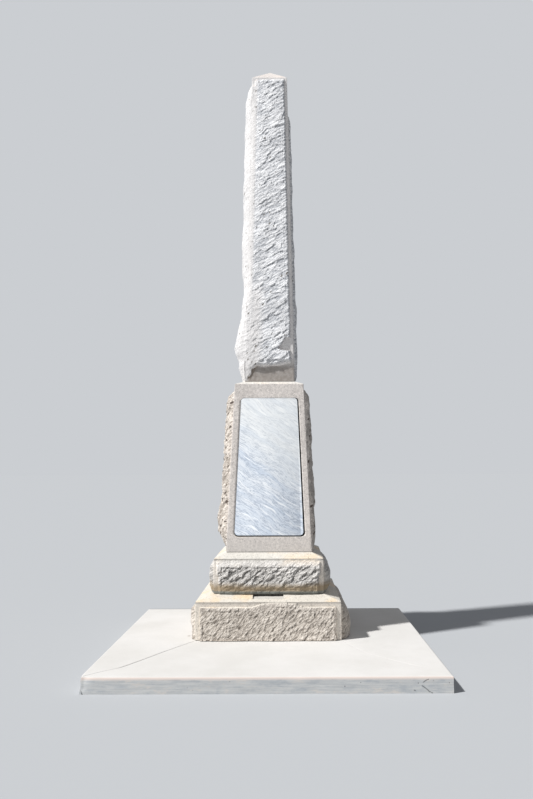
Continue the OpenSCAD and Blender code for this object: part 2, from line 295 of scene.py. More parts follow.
# %% [markdown]
# The rule for a finish. A ragged line is drawn where rock meets margin: the lift has to pass a
# threshold that wanders from place to place, so the panel ends in small steps and bites instead
# of a ruled slope. Corners and top edges get the nicks of a century of weather. The left side
# reads its pattern on from the front's, so that rock can wrap round the corner between them.

# %% Finish of a pitch-faced panel
def ease(x, low, high):
    """Rises smoothly from 0 at low to 1 at high."""
    t = min(1.0, max(0.0, (x - low) / (high - low)))
    return t * t * (3 - 2 * t)


def nick(s, z, side, half, depth=0.004):
    """Small losses along a corner, as a distance inward."""
    near = 1 - ease(half - abs(s), 0.001, 0.012)
    loss = ease(soft(z * 21, math.copysign(3, s) + side * 7, 0.5), 0.2, 0.75)
    return near * loss * depth


def panel(side, s, z, half, lift, grain, sizes, ragged=0.012, calm=0.0):
    """Relief of a panel of rock: height outward, share of rock and crest. Calm rock is smooth."""
    u, face = (s - 2 * half, FRONT) if side == LEFT else (s, side)
    bite = 0.5 + 0.5 * soft(u * 38, z * 38, 4.2 + face)
    bite += 0.35 * soft(u * 110, z * 110, 1.7 + face)
    edge = 0.004 * (1 - calm) + ragged * bite * (1 - 0.8 * calm)
    keep = ease(lift, edge - 0.002 - 0.004 * calm, edge + 0.002 + 0.010 * calm)
    if keep == 0:
        tooled = 0.0004 * soft(s * 160, z * 160, side)
        return tooled - nick(s, z, side, half), 0.0, 0.5 + 0.2 * soft(s * 30, z * 30, 2)
    height, cresting = broken(u, z, face, grain, sizes)
    share = ease(lift, 0.004, 0.024) * (1 - 0.8 * calm)
    return (keep * (lift + share * (height + 0.003)), keep * (1 - 0.85 * calm),
            cresting * keep + 0.5 * (1 - keep))


print("weather took", round(nick(0.497, 0.3, RIGHT, 0.5) * 1000, 1), "mm off a sample corner")

# %% [markdown]
# The lower base is the widest stone. Its front is nearly flat rock with short steep chips of 24
# by 36 mm, and its wash, the sloping top that sheds rain, is dressed smooth.

# %% Carve the lower base
LOWER_RISE, LOWER_TOP = 0.331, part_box("lower_base")[1].z
LOWER_ARRIS = LOWER_Z + LOWER_RISE
FINE_CHIPS = [(0.130, 0.070, 0.0006), (0.036, 0.024, 0.0026)]


def lower_finish(side, s, z, half, lift):
    """Short steep chips all round, and 7 mm more of rock in front."""
    lift += 0.007 * ease(lift, 0.001, 0.006) if side == FRONT else 0.0
    return panel(side, s, z, half, lift, 52, FINE_CHIPS)


lower_rows = climb(LOWER_Z, LOWER_RISE - ROUND, LOWER_HALF, LOWER_HALF, 0.0078)
lower_top = brow(LOWER_ARRIS, LOWER_HALF, LOWER_TOP, UPPER_HALF, 12)
lower_shape = carve("lower_base", lower_rows, lower_top, 0.040, [170, 120, 110, 120], lower_finish,
                    0.9)
lower_base = as_piece(lower_shape, "lower_base_stone")

# %% [markdown]
# The upper base is rounder: its rock swells in the middle and curls in at the foot. On its front
# the rock begins at the top as a calm slope, which breaks up further down.

# %% Carve the upper base
UPPER_RISE, UPPER_TOP = 0.313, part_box("upper_base")[1].z
UPPER_ARRIS = UPPER_Z + UPPER_RISE
BOLD_CHIPS = [(0.100, 0.060, 0.0042), (0.045, 0.028, 0.0048)]


def upper_finish(side, s, z, half, lift):
    """A calm slope under the front's top margin, bold rock below it and a calm curled foot."""
    down = UPPER_RISE - z
    wander = 0.022 * soft(s * 11, z * 11, 5)
    wander += 0.012 * soft(s * 34, z * 34, 6)
    calm = 0.7 * (1 - ease(z, 0.05, 0.09))
    if side == FRONT:
        slope = 0.006 * ease(down, 0.008, 0.012) + 0.024 * ease(down, 0.008, 0.085)
        faded = 1 - ease(down + wander, 0.07, 0.22)
        lift = max(lift, slope * ease(half - abs(s), 0.026, 0.034) * faded)
        calm = max(calm, 0.5 * (1 - ease(down + wander, 0.025, 0.08)))
    return panel(side, s, z, half, lift, 35, BOLD_CHIPS, calm=calm)


upper_rows = climb(UPPER_Z, UPPER_RISE - ROUND, UPPER_HALF, UPPER_HALF, 0.0075)
upper_top = brow(UPPER_ARRIS, UPPER_HALF, UPPER_TOP, DIE_HALF, 10)
upper_shape = carve("upper_base", upper_rows, upper_top, 0.040, [140, 100, 90, 100], upper_finish,
                    0.7)
upper_base = as_piece(upper_shape, "upper_base_stone")

# %% [markdown]
# The die carries the tablet. Its front is dressed flat with a bush hammer, a hammer with a face
# of small points, and its other three sides are bold rock with deep pits.

# %% Carve the die
DIE_RISE, DIE_TOP, DIE_TOP_HALF = 1.600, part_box("die")[1].z, 0.335
DIE_ARRIS = DIE_Z + DIE_RISE
JAGGED_CHIPS = [(0.140, 0.080, 0.007), (0.060, 0.034, 0.007)]


def die_finish(side, s, z, half, lift):
    """A flat front with worn corners, and rock on the other sides, calmer on the right."""
    if side == FRONT:
        return -nick(s, z, side, half), 0.0, 0.5 + 0.3 * soft(s * 25, z * 25, 6)
    return panel(side, s, z, half, lift, 55, JAGGED_CHIPS, 0.020, 0.6 if side == RIGHT else 0.0)


die_rows = climb(DIE_Z, DIE_RISE - ROUND, DIE_HALF, DIE_TOP_HALF, 0.0095)
die_top = brow(DIE_ARRIS, DIE_TOP_HALF, DIE_TOP, SHAFT_HALF, 5)
die_shape = carve("die", die_rows, die_top, 0.026, [24, 62, 58, 66], die_finish)
die = as_piece(die_shape, "die_stone")

# %% [markdown]
# The shaft is one stone 3.4 m tall. Long ridges run up its front to the right, its right margin
# and pointed top are dressed, and its left side keeps a boss, the lump by which such stones were
# handled. At the foot of the front a strip was dressed back to the margin. Along the front's left
# edge the rock came away clean and took the arris with it, so a smooth pale slope runs round
# from the front to the left side. The foot of that arris is broken too, and its top is still
# sharp. The front is flat enough for the light to reach over its right-hand edge to the arris
# beside it. Heights in the rules below are in metres above the shaft's foot.

# %% Carve the shaft
SHAFT_RISE, SHAFT_TOP, SHAFT_TOP_HALF = 3.220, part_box("shaft")[1].z, 0.183
SHAFT_ARRIS = SHAFT_Z + SHAFT_RISE
SHAFT_WEAR = 0.004
BRIDGE = 0.055  # width of the slope on each side of the front's left corner
CORNER_LOSS = 0.017
RIDGES = [(0.160, 0.085, 0.0016), (0.070, 0.028, 0.0028)]
# The upper edge of the dressed strip, from left to right, as places across and up
FOOT_LINE = [(-0.183, 0.0), (-0.173, 0.027), (-0.117, 0.143), (0.014, 0.134), (0.171, 0.177),
             (0.3, 0.180)]


def between(x, pairs):
    """Reads a value off a line through a few points."""
    for (x0, y0), (x1, y1) in zip(pairs, pairs[1:]):
        if x0 <= x <= x1:
            return y0 + (y1 - y0) * (x - x0) / (x1 - x0)
    return pairs[0][1] if x < pairs[0][0] else pairs[-1][1]


def notch(s, z):
    """The place low on the front's right edge where a wedge of rock has gone."""
    top = between(z, [(0.323, 0.087), (0.434, 0.158)])
    bottom = between(z, [(0.303, 0.176), (0.323, 0.087)])
    return ease(s, max(top, bottom) - 0.004, max(top, bottom) + 0.004) if 0.303 < z < 0.434 else 0.0


def broken_corner(side, s, z, half):
    """How much has gone from the corner between the front and the left side."""
    if side not in (FRONT, LEFT):
        return 0.0
    off = half + s if side == FRONT else half - s
    stretch = max(ease(z, 0.55, 0.95) * (1 - ease(z, 2.90, 3.02)), 1 - ease(z, 0.20, 0.34))
    share = max(0.0, 1 - off / BRIDGE) ** 2 * stretch
    return CORNER_LOSS * share * (1 + 0.5 * soft(0, z * 4, 8))


def rework_shaft(lifts, columns, sides, rows):
    """Flattens the front, and lets the rock slope smoothly round its left corner."""
    for (i, j), lift in lifts.items():
        if columns[i][0] == FRONT:
            flat = (0.007 + 0.38 * lift) * ease(lift, 0.0, 0.003)
            lifts[i, j] = lift + ease(rows[j][0] - SHAFT_Z, 0.25, 0.6) * (flat - lift)
    for j, (z, half) in enumerate(rows):
        # How far from the corner each column of the two half faces beside it stands
        off = {i: half - abs(sides[j][side][k]) for i, (side, k) in enumerate(columns)
               if side in (FRONT, LEFT) and sides[j][side][k] * (1 if side == LEFT else -1) > 0}
        low = 1 - ease(z - SHAFT_Z, 0.55, 0.95)
        # The lift where the slope begins on each side, and what is left of it at the corner
        inner, corner = {}, {}
        for side, share in ((FRONT, 0.5 + 0.1 * low), (LEFT, 0.12 + 0.23 * low)):
            inner[side] = min((o, lifts[i, j]) for i, o in off.items()
                              if columns[i][0] == side and o > BRIDGE)[1]
            corner[side] = share * inner[side]
        joined = ease(inner[LEFT], 0.010, 0.030) * ease(z - SHAFT_Z, 0.16, 0.30)
        for i, o in off.items():
            side = columns[i][0]
            if o < BRIDGE:
                lift = corner[side] + (inner[side] - corner[side]) * o / BRIDGE
                if o < ROUND:
                    turn = math.radians(45) * (1 - o / ROUND)
                    turn = turn if side == FRONT else math.pi / 2 - turn
                    lift = 1 / (math.cos(turn) / (corner[FRONT] + ROUND)
                                + math.sin(turn) / (corner[LEFT] + ROUND)) - ROUND
                lifts[i, j] += joined * (lift - lifts[i, j])


def shaft_finish(side, s, z, half, lift):
    """Ridged rock over a dressed foot, calm near its left corner, and low down there creamy."""
    if side == FRONT:
        line = between(s, FOOT_LINE) + 0.006 * soft(s * 16, 0, 3)
        lift *= ease(z, line - 0.010, line + 0.014) * (1 - 0.9 * notch(s, z))
        calm = (1 - ease(s + half, 0.040, 0.075)) * ease(z, 0.5, 0.9)
        calm = max(calm, 0.8 * (1 - ease(z, line + 0.01, line + 0.045)))
        cream = (1 - ease(s + half, 0.10, 0.20)) * (1 - ease(z, 0.8, 1.1))
    else:
        calm = 0.9 * ease(s, half - 0.12, half - 0.05) if side == LEFT else 0.0
        cream = 0.8 if side == LEFT else 0.0
    ragged = 0.006 if side == FRONT else 0.012
    out, rockiness, cresting = panel(side, s, z, half, lift, 32, RIDGES, ragged, calm)
    return (out - broken_corner(side, s, z, half),
            rockiness * (1 - 0.75 * max(0.0, cream - calm)), cresting)


shaft_rows = climb(SHAFT_Z, SHAFT_RISE - SHAFT_WEAR, SHAFT_HALF, SHAFT_TOP_HALF, 0.0088)
shaft_top = brow(SHAFT_ARRIS, SHAFT_TOP_HALF, SHAFT_TOP, 0.0, 10, SHAFT_WEAR)
shaft_shape = carve("shaft", shaft_rows, shaft_top, 0.026, [56, 28, 26, 36], shaft_finish, 0.65,
                    rework_shaft)
shaft = as_piece(shaft_shape, "shaft_stone")

# %% [markdown]
# The marble tablet was sawn and honed, so it stays a plain slab. Only its front edge is rounded
# off, by 9 mm. The CAD node's triangles are joined and its flat faces dissolved to single faces
# before the bevel, because a bevel follows edges and a triangulated face is full of false ones.

# %% Round the tablet's front edge
def whole_faces(node):
    """A copy of a CAD node with its triangles joined into whole flat faces."""
    shape = bmesh.new()
    shape.from_mesh(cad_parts[node].data)
    bmesh.ops.remove_doubles(shape, verts=shape.verts, dist=1e-5)
    bmesh.ops.dissolve_limit(shape, angle_limit=math.radians(1), verts=shape.verts,
                             edges=shape.edges)
    return shape


tablet_shape = whole_faces("tablet")
tablet_front = max(tablet_shape.faces, key=lambda f: -f.normal.y * f.calc_area())
bmesh.ops.bevel(tablet_shape, geom=list(tablet_front.edges), affect="EDGES", offset=0.009,
                segments=5, profile=0.5, material=-1, clamp_overlap=True)
tablet = as_piece(tablet_shape, "marble_tablet", 40)

# %% [markdown]
# Two things were cut into finished stones: the recess that holds the tablet, with a joint of
# 2 mm on its left and top, 15 mm on its right and 12 mm at its foot, and a pocket in the lower
# wash. Each cutter is a closed shape, and the cut faces keep the cutter's own material, so that
# the shade in the recess and the pocket can be painted on them. Grit has settled on the pocket's
# floor and lies highest at the back, so the floor rises with the wash, and is 8 mm deep at the
# lip and 17 mm at the back.

# %% Cut the recess and the pocket
JOINT = {0: (-0.002, 0.015), 2: (-0.012, 0.002)}
POCKET_X, POCKET_BACK, POCKET_FRONT = (-0.143, 0.137), 0.139, 0.053
POCKET_H, LIP_DEPTH, FLOOR_RISE = 0.08, 0.008, 0.016


def cut_away(piece, cutter):
    """Takes the cutter's shape out of a piece. The cut faces get a second material slot."""
    for blank in (piece, cutter):
        blank.data.materials.append(bpy.data.materials.new(blank.name))
    saw = piece.modifiers.new("saw", "BOOLEAN")
    saw.object = cutter
    saw.operation = "DIFFERENCE"
    saw.solver = "EXACT"
    saw.material_mode = "TRANSFER"
    result = bpy.data.meshes.new_from_object(
        piece.evaluated_get(bpy.context.evaluated_depsgraph_get()))
    piece.modifiers.clear()
    old, piece.data = piece.data, result
    result.name = piece.name
    bpy.data.meshes.remove(old)
    bpy.data.objects.remove(cutter)


tablet_low, tablet_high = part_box("tablet")
tablet_middle = (tablet_low + tablet_high) / 2
tablet_size = tablet_high - tablet_low
recess = whole_faces("tablet")
for vert in recess.verts:
    off = vert.co - tablet_middle
    for axis, joint in JOINT.items():
        vert.co[axis] += joint[off[axis] > 0] * (abs(off[axis]) / (tablet_size[axis] / 2))
    vert.co.y += 0.004 if off.y > 0 else 0.0
cut_away(die, as_piece(recess, "recess_cutter"))

wash_slope = (LOWER_TOP - LOWER_ARRIS) / (LOWER_HALF - UPPER_HALF)
pocket_floor = LOWER_ARRIS + wash_slope * POCKET_FRONT - LIP_DEPTH
pocket_middle = Vector((AXIS_X + sum(POCKET_X) / 2,
                        AXIS_Y - LOWER_HALF + (POCKET_FRONT + POCKET_BACK) / 2,
                        pocket_floor + POCKET_H / 2 + FLOOR_RISE / 2))
pocket_size = Vector((POCKET_X[1] - POCKET_X[0], POCKET_BACK - POCKET_FRONT, POCKET_H))
pocket = bmesh.new()
bmesh.ops.create_cube(pocket, size=1)
bmesh.ops.subdivide_edges(pocket, edges=pocket.edges, cuts=11, use_grid_fill=True)
for vert in pocket.verts:
    rough = 0.0035 * noise.noise(vert.co * 9)
    rise = Vector((rough, rough, FLOOR_RISE * vert.co.y + 0.5 * rough))
    vert.co = pocket_middle + vert.co * pocket_size + rise
bmesh.ops.recalc_face_normals(pocket, faces=pocket.faces)
cut_away(lower_base, as_piece(pocket, "pocket_cutter"))
print("recess and pocket cut")

# %% [markdown]
# The pad was cast in one pour round the footing, so it is a frame with a square opening. One grid
# makes it too: its rows go under the slab, up its side, over the tooled edge, in across the top
# and down into the opening. Shrinkage has cracked it from the base's front corners outward.
# Those cracks follow two of the grid's columns, which are bent to the cracks' real course and
# pressed down. A number called `crack` marks them for the material.

# %% Cast the pad
PAD_LOW, PAD_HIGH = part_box("pad")
PAD_MIDDLE = (PAD_LOW + PAD_HIGH) / 2
PAD_R = 0.012  # radius of the tooled edge
ACROSS = 44  # rows from the edge to the opening
OPENING = [Vector((AXIS_X + x * LOWER_HALF, AXIS_Y + y * LOWER_HALF))
           for x, y in ((-1, -1), (1, -1), (1, 1), (-1, 1))]
CORNERS = [Vector(c) for c in ((PAD_LOW.x, PAD_LOW.y), (PAD_HIGH.x, PAD_LOW.y),
                               (PAD_HIGH.x, PAD_HIGH.y), (PAD_LOW.x, PAD_HIGH.y))]
CRACKS = {0: [(-1.258, -1.095), (-1.134, -0.987), (-1.022, -0.795), (-0.905, -0.573)],
          1: [(1.175, -0.990), (0.990, -0.800), (0.811, -0.604)]}
CRACK_SHOWS, CRACK_DEPTH = (1.0, 0.22), (0.008, 0.002)  # the left crack gapes, the right is fine


def seam_path(corner, t):
    """The course of a crack, from t = 0 at the pad's corner to 1 at the base's."""
    stops = [CORNERS[corner], *map(Vector, CRACKS.get(corner, [])), OPENING[corner]]
    spans = [(b - a).length for a, b in zip(stops, stops[1:])]
    walk = t * sum(spans)
    for a, b, span in zip(stops, stops[1:], spans):
        if walk <= span + 1e-9:
            return a.lerp(b, min(1.0, walk / span))
        walk -= span
    return stops[-1]


def pad_rows():
    """Rows of the pad's sheet as (inward share, inset, height)."""
    top = PAD_HIGH.z
    side = [(0, 0, top * k / 8) for k in range(7)]
    bend = [(0, PAD_R * (1 - math.cos(a)), top - PAD_R + PAD_R * math.sin(a))
            for a in (math.pi / 8 * k for k in range(5))]
    across = [(k / ACROSS, PAD_R * (1 - k / ACROSS), top) for k in range(1, ACROSS + 1)]
    return [(1, 0, 0)] + side + bend + across + [(1, 0, 0)]


def side_shares(count):
    """Where columns stand along a side as shares, closer together at its corners."""
    close = (0.0, 0.0028, 0.0056, 0.011)
    middle = [0.02 + 0.96 * k / count for k in range(count + 1)]
    return list(close) + middle + [1 - c for c in reversed(close[1:])]


def cast_pad():
    """The pad as one sheet, welded to itself both ways."""
    rows = pad_rows()
    shares = side_shares(56)
    ring = 4 * len(shares)
    slab = bmesh.new()
    bmesh.ops.create_grid(slab, x_segments=ring, y_segments=len(rows) - 1, size=1)
    crack = slab.verts.layers.float.new("crack")
    for vert in slab.verts:
        i = round((vert.co.x + 1) / 2 * ring) % ring
        t, inset, z = rows[round((vert.co.y + 1) / 2 * (len(rows) - 1))]
        side, k = divmod(i, len(shares))
        spot = seam_path(side, t).lerp(seam_path((side + 1) % 4, t), shares[k])
        inward = (PAD_MIDDLE.xy - spot).normalized()
        drop = wear = 0.0
        if 0 < t < 1 and k == 0 and side in CRACKS:
            vert[crack] = CRACK_SHOWS[side] * (0.40 + 0.60 * ease(t, 0.1, 0.7))
            drop = CRACK_DEPTH[side] * ease(t, 0.08, 0.35)
            spot += 0.003 * Vector((noise.noise(spot.to_3d() * 12), noise.noise(spot.to_3d() * 15)))
        if t == 0 and z > 0.02:
            front_left = 1 - ease((spot - CORNERS[0]).length, 0.01, 0.07)
            wear = 0.010 * front_left * (1 + soft(spot.x * 60, spot.y * 60, z * 60))
            wear += 0.004 * ease(soft(spot.x * 23, spot.y * 23, z * 30), 0.25, 0.8)
        for axis in (0, 1) if t == 0 else ():
            spot[axis] = min(PAD_HIGH[axis] - inset, max(PAD_LOW[axis] + inset, spot[axis]))
        spot += inward * wear
        vert.co = (spot.x, spot.y, z - drop)
    bmesh.ops.remove_doubles(slab, verts=slab.verts, dist=1e-5)
    bmesh.ops.recalc_face_normals(slab, faces=slab.faces)
    return slab


pad = as_piece(cast_pad(), "concrete_pad", 40)

# %% [markdown]
# All the pieces belong to the one body of the model, and each stands for its CAD node. The
# mortar beds and the footing keep their CAD shape, which is plain on the real thing too.

# %% Tie the pieces to the CAD nodes
PIECES = [(lower_base, "lower_base", "base_granite"), (upper_base, "upper_base", "base_granite"),
          (die, "die", "die_granite"), (shaft, "shaft", "shaft_granite"),
          (tablet, "tablet", "marble"), (pad, "pad", "concrete")]
for piece, node_name, slot in PIECES:
    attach(piece, "root")
    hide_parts(node_name)
print("pieces tied:", [piece.name for piece, _, _ in PIECES])

# %% [markdown]
# Colours are picked in sRGB, as a paint chart gives them, and a shader works with linear light,
# so one function turns the first into the second. Another adds a shader node with its settings
# and its links. It fills the inputs in the order in which the node shows them in the editor, so
# a line here reads as the node does there.

# %% Helpers for the materials
def colour(code):
    """An sRGB hex code as a linear colour."""
    parts = [int(code[k:k + 2], 16) / 255 for k in (1, 3, 5)]
    return tuple(p / 12.92 if p <= 0.04045 else ((p + 0.055) / 1.055) ** 2.4 for p in parts) + (1,)


def fill(tree, socket, value):
    """Gives an input a value, a colour from its hex code, or a link to a node or a socket."""
    if isinstance(value, bpy.types.Node):
        value = next(output for output in value.outputs if output.enabled)
    if isinstance(value, bpy.types.NodeSocket):
        tree.links.new(value, socket)
    else:
        socket.default_value = colour(value) if isinstance(value, str) else value


def add(tree, kind, *values, **named):
    """Adds a node and fills its inputs in order. A name with a capital is an input, too, and any
    other name is a setting."""
    node = tree.nodes.new("ShaderNode" + kind)
    for name, value in named.items():
        if name.islower():
            setattr(node, name, value)
    for socket, value in zip([s for s in node.inputs if s.enabled], values):
        fill(tree, socket, value)
    for name, value in named.items():
        if name.istitle():
            fill(tree, node.inputs[name], value)
    return node


def new_material(name):
    """A material with its tree, its surface shader and its place on the object, in metres."""
    material = bpy.data.materials.new(name)
    material.use_nodes = True
    tree = material.node_tree
    where = add(tree, "TexCoord").outputs["Object"]
    return material, tree, tree.nodes["Principled BSDF"], where


def finished(tree, shader, base, roughness, relief, strength, distance=0.001):
    """Gives the surface its colour, its roughness and, through a bump node, its fine relief."""
    bump = add(tree, "Bump", strength, distance, Height=relief)
    for name, value in (("Base Color", base), ("Roughness", roughness), ("Normal", bump)):
        fill(tree, shader.inputs[name], value)


print("white is", colour("#ffffff"))

# %% [markdown]
# **Small chips.** The narrow chips are drawn by the material with the same rule as the modelled
# ones: a Voronoi cell's own middle is taken from the point's place, which leaves a tilted plane in
# each cell. As geometry they would cost millions of triangles. The height comes out in metres, so
# one bump node turns it into true slopes.

# %% Small chips in the material
def cells_along(tree, at, grain, length, width, seed=0):
    """Cells stretched along the grain: the place in them, their pattern and a chance for each."""
    place = add(tree, "Mapping", at, (seed * 3.7, seed * 1.3, 0), (0, 0, math.radians(grain)),
                (length, width, 1), vector_type="TEXTURE")
    cells = add(tree, "TexVoronoi", place, 1.0, voronoi_dimensions="2D").outputs
    return place, cells, add(tree, "SeparateColor", cells["Color"])


def chipped(tree, at, sizes, grain):
    """Small tilted chips along the grain: their height in metres, and their painted shadows."""
    wander = add(tree, "TexNoise", at, 16.0, 2.0).outputs["Color"]
    shift = add(tree, "VectorMath", wander, 0.022, operation="SCALE")
    spot = add(tree, "VectorMath", at, shift, operation="ADD")
    height = chip_shadows = 0.0
    for seed, (length, width, depth) in enumerate(sizes, start=1):
        place, cells, chance = cells_along(tree, spot, grain, length, width, seed)
        off = add(tree, "VectorMath", cells["Position"], place, operation="SUBTRACT")
        tilt = add(tree, "SeparateXYZ", off).outputs["Y"]
        level = add(tree, "Math", chance, 0.7, tilt, operation="MULTIPLY_ADD")
        height = add(tree, "Math", level, depth, height, operation="MULTIPLY_ADD")
        gap = add(tree, "MapRange", tilt, -0.34, -0.12, 1.0, 0.0)
        for share in (add(tree, "MapRange", chance, 0.15, 0.75), 1.15 - 0.35 * seed):
            gap = add(tree, "Math", gap, share, operation="MULTIPLY")
        chip_shadows = add(tree, "Math", chip_shadows, gap, operation="MAXIMUM")
    return height, chip_shadows


print("small chips ready")

# %% [markdown]
# ** Granite.** The real stone is a grey to pinkish granite of 2 to 6 mm grains: pale feldspar,
# glassy quartz and a few black mica flakes. Broken rock is rough, and so reflects without
# gloss. Seen from a few metres the grains blend, so what the eye gets is the mottling, the
# hollows, painted darker as shade, and the crests, painted paler as highlight. The dark dashes
# along each small chip's drop are its painted shadow. The dressed margins and washes are finer,
# so they look lighter. The grain is drawn at 6 mm, its largest real size, with a broader mottling
# of 25 mm and of 300 mm over it. Rain has carried soil and rust into a stain at the foot of the
# two bases and the die. On the shaft the same stain is painted shade, under the rock's ledge over
# the dressed foot strip. A thin band of painted shade lies on the margin just under each arris,
# and the top of the rock just below it is painted paler as highlight. The right side, which gets
# little sun, is painted darker as shade. Pits are small dark holes, more of them on the calmer
# rock. The lowest edge of the curled foot is painted a slaty grey-green as shade. The fine
# roughness of every surface is 4 mm wide and 1 mm deep.
#
# A look holds the colours and sizes of one stone. Its shares set the chips' painted shadows, the
# mottle, the painted shade under the arris, the painted highlight on the rock below it, the
# painted shade on the right side and the pits. Arris is the height of its top edge, grain is the
# slant of its chips in degrees, and the stain and the slaty foot band each get a lower and an
# upper height and a share.

# %% Granite
COMMON = {"chips": [(0.052, 0.021, 0.0045), (0.024, 0.011, 0.0018)], "pit_size": (0.070, 0.034),
          "line": 0.0, "lit_top": 0.0, "stain_and_shade_on_rock": 1.0, "right_side_shade": 0.0, "shaded_foot": "#7f8786",
          "shaded_foot_at": (0.0, 0.01, 0.0)}


def granite(name, look):
    """Granite with broken and dressed surfaces, small chips and stains, and painted shade and
    highlight.
    """
    look = {**COMMON, **look}
    arris = look["arris"]
    material, tree, shader, where = new_material(name)
    rock, crest = (add(tree, "Attribute", attribute_name=kept).outputs["Fac"]
                   for kept in ("rock", "crest"))
    face_at = add(tree, "Attribute", attribute_name="face_at").outputs["Vector"]
    height = add(tree, "SeparateXYZ", where).outputs["Z"]
    facing = add(tree, "SeparateXYZ", add(tree, "NewGeometry").outputs["Normal"]).outputs
    broad = add(tree, "TexNoise", where, 3.3, 3.0)
    middling = add(tree, "TexNoise", where, 40.0, 4.0, 0.75)
    fine = add(tree, "TexNoise", where, 240.0, 3.0, 0.7)
    grains = add(tree, "TexVoronoi", where, 160.0).outputs["Color"]
    grain = add(tree, "SeparateColor", grains).outputs
    chips, chip_shadows = chipped(tree, face_at, look["chips"], look["grain"])
    depth = sum(size[2] for size in look["chips"])
    # The colour follows the chips' height: hollows are painted darker as shade, crests paler as
    # highlight, and the dashes at each chip's drop are its painted shadow.
    tone = add(tree, "MapRange", chips, 0.0, 0.8 * depth, -0.18, 0.22)
    tone = add(tree, "Math", tone, 0.2, operation="ADD")
    tone = add(tree, "Math", crest, 0.6, tone, operation="MULTIPLY_ADD")
    face = look["hollow"]
    for share, over in (
            (add(tree, "MapRange", tone, 0.10, 0.45), look["body"]),
            (add(tree, "MapRange", tone, 0.55, 0.95), look["crest"]),
            (add(tree, "Math", chip_shadows, look["chip_shadows"], operation="MULTIPLY"), look["hollow"]),
            # The top of the rock, just under the arris, is painted paler as highlight.
            (add(tree, "MapRange", height, arris - 0.10, arris - 0.03, 0.0, look["lit_top"]),
             look["crest"])):
        face = add(tree, "Mix", share, face, over, data_type="RGBA")
    rusty = add(tree, "Mix", add(tree, "MapRange", broad, 0.49, 0.62, 0.0, 0.65), look["wash"],
                look["rust"], data_type="RGBA")
    dressed = add(tree, "Mix", add(tree, "MapRange", facing["Z"], 0.20, 0.32), look["dressed"],
                  rusty, data_type="RGBA")
    # A band of painted shade on the margin just under the arris.
    arris_shade = add(tree, "MapRange", rock, 0.0, 0.5, look["line"], 0.0)
    for share in (add(tree, "MapRange", height, arris - 0.026, arris - 0.010),
                  add(tree, "MapRange", height, arris - 0.003, arris - 0.001, 1.0, 0.0)):
        arris_shade = add(tree, "Math", arris_shade, share, operation="MULTIPLY")
    # The mottling is real tone. The arris band and the right side's darkening in it are painted
    # shade.
    mottle_and_shade = add(tree, "Math", 1.0, arris_shade, operation="SUBTRACT")
    for share in (
            add(tree, "MapRange", broad, 0.3, 0.7, 0.92, 1.06),
            add(tree, "MapRange", middling, 0.3, 0.7, 1.0 - look["mottle"], 1.0 + look["mottle"]),
            add(tree, "MapRange", grain["Red"], 0.0, 1.0, 0.90, 1.10),
            add(tree, "MapRange", grain["Green"], 0.93, 0.97, 1.0, 0.60),
            # Faces turned to the right are painted darker, as shade.
            add(tree, "MapRange", facing["X"], 0.3, 0.8, 1.0, 1.0 - look["right_side_shade"])):
        mottle_and_shade = add(tree, "Math", mottle_and_shade, share, operation="MULTIPLY")
    both = add(tree, "Mix", rock, dressed, face, data_type="RGBA")
    toned = add(tree, "VectorMath", both, mottle_and_shade, operation="SCALE")
    # A stain at the foot: real dirt on the bases and the die, painted shade under the rock's ledge
    # on the shaft.
    foot, top, share = look["stain_and_shade_at"]
    ragged = add(tree, "Math", broad, 0.09, height, operation="MULTIPLY_ADD")
    stain_and_shade_mask = add(tree, "Math", add(tree, "MapRange", ragged, foot, top, share, 0.0),
               add(tree, "MapRange", rock, 0.0, 0.15, 1.0, look["stain_and_shade_on_rock"]),
               operation="MULTIPLY")
    # A slaty band of painted shade along the curled foot.
    foot, top, share = look["shaded_foot_at"]
    ragged = add(tree, "Math", middling, 0.012, height, operation="MULTIPLY_ADD")
    shaded_foot = add(tree, "MapRange", ragged, foot, top, share, 0.0)
    _, pits, chosen = cells_along(tree, face_at, 58, *look["pit_size"])
    few = add(tree, "MapRange", rock, 0.3, 0.6, 1.0 - look["calm_pits"], 1.0 - look["pits"])
    size = add(tree, "MapRange", chosen, few, 1.0, 0.0, 0.34)
    away = add(tree, "Math", middling, 0.3, pits["Distance"], operation="MULTIPLY_ADD")
    away = add(tree, "Math", away, size, operation="SUBTRACT")
    hole = add(tree, "Math", add(tree, "MapRange", away, 0.10, 0.18, 1.0, 0.0),
               add(tree, "MapRange", rock, 0.05, 0.25), operation="MULTIPLY")
    for share, over in ((stain_and_shade_mask, look["stain_and_shade"]), (shaded_foot, look["shaded_foot"]), (hole, look["pit"])):
        toned = add(tree, "Mix", share, toned, over, data_type="RGBA")
    relief = add(tree, "Math", hole, -0.006, chips, operation="MULTIPLY_ADD")
    relief = add(tree, "Math", relief, rock, operation="MULTIPLY")
    relief = add(tree, "Math", fine, 0.0011, relief, operation="MULTIPLY_ADD")
    shader.inputs["IOR"].default_value = 1.54
    finished(tree, shader, toned, 0.86, relief, 1.0, 1.0)
    return material


# Each look also sets painted shade under the arris, a painted highlight on the rock below it and
# painted shade on the right side.
base_low = granite("pitch_faced_tan_granite", {
    "body": "#cfc6bb", "crest": "#e8e0d6", "hollow": "#91887e", "chip_shadows": 0.75, "mottle": 0.11,
    "dressed": "#dfd7cc", "wash": "#d5cec2", "rust": "#dcbf96", "line": 0.36, "lit_top": 0.2,
    "stain_and_shade": "#a08c74", "stain_and_shade_at": (LOWER_Z + 0.02, LOWER_Z + 0.07, 0.25),
    "arris": LOWER_ARRIS, "chips": [(0.031, 0.018, 0.0042), (0.016, 0.010, 0.0018)], "grain": 46,
    "pits": 0.04, "calm_pits": 0.04, "pit": "#6d645b"})
